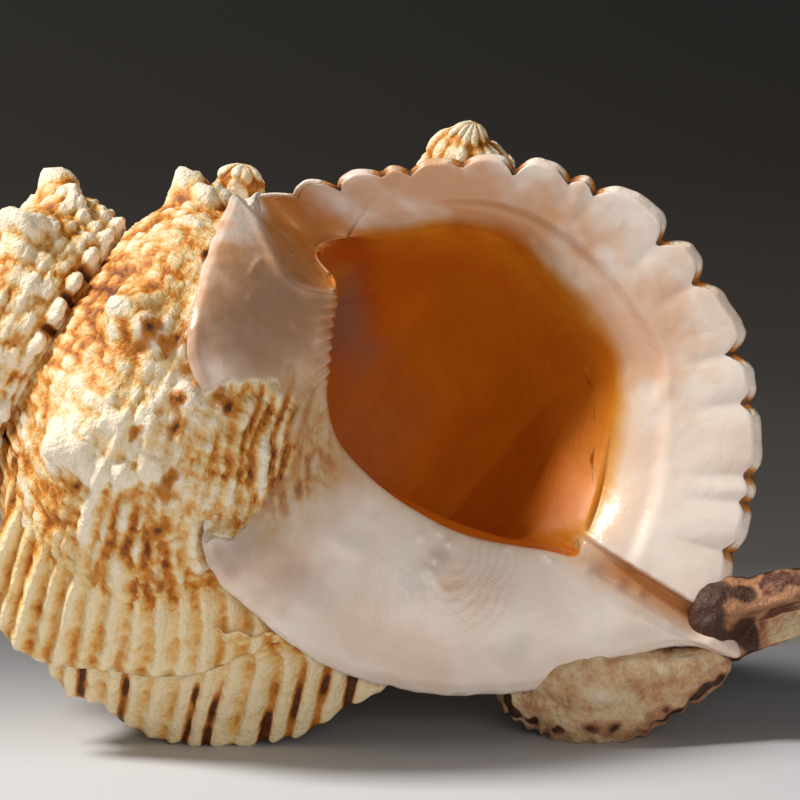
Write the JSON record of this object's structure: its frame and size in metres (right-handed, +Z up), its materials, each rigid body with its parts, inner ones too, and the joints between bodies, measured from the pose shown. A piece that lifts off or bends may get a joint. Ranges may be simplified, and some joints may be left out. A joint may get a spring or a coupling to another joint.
{
  "type": "murex shell",
  "caption": "Large knobbed spiral seashell lying on its side, with a wide flared mouth, lobed outer lip, glossy inner lip and short canal.",
  "frame": {"origin": "centre of the shell's bounding box at the level of the surface it lies on", "axes": "+Z up, +X from the pointed spire towards the canal, -Y the way the mouth faces"},
  "size_m": [0.223, 0.1056, 0.121],
  "materials": {
    "shell": "chalky knobbed outside, porcelain-smooth mouth"
  },
  "bodies": {
    "root": {"shell": "shell"}
  },
  "joints": []
}
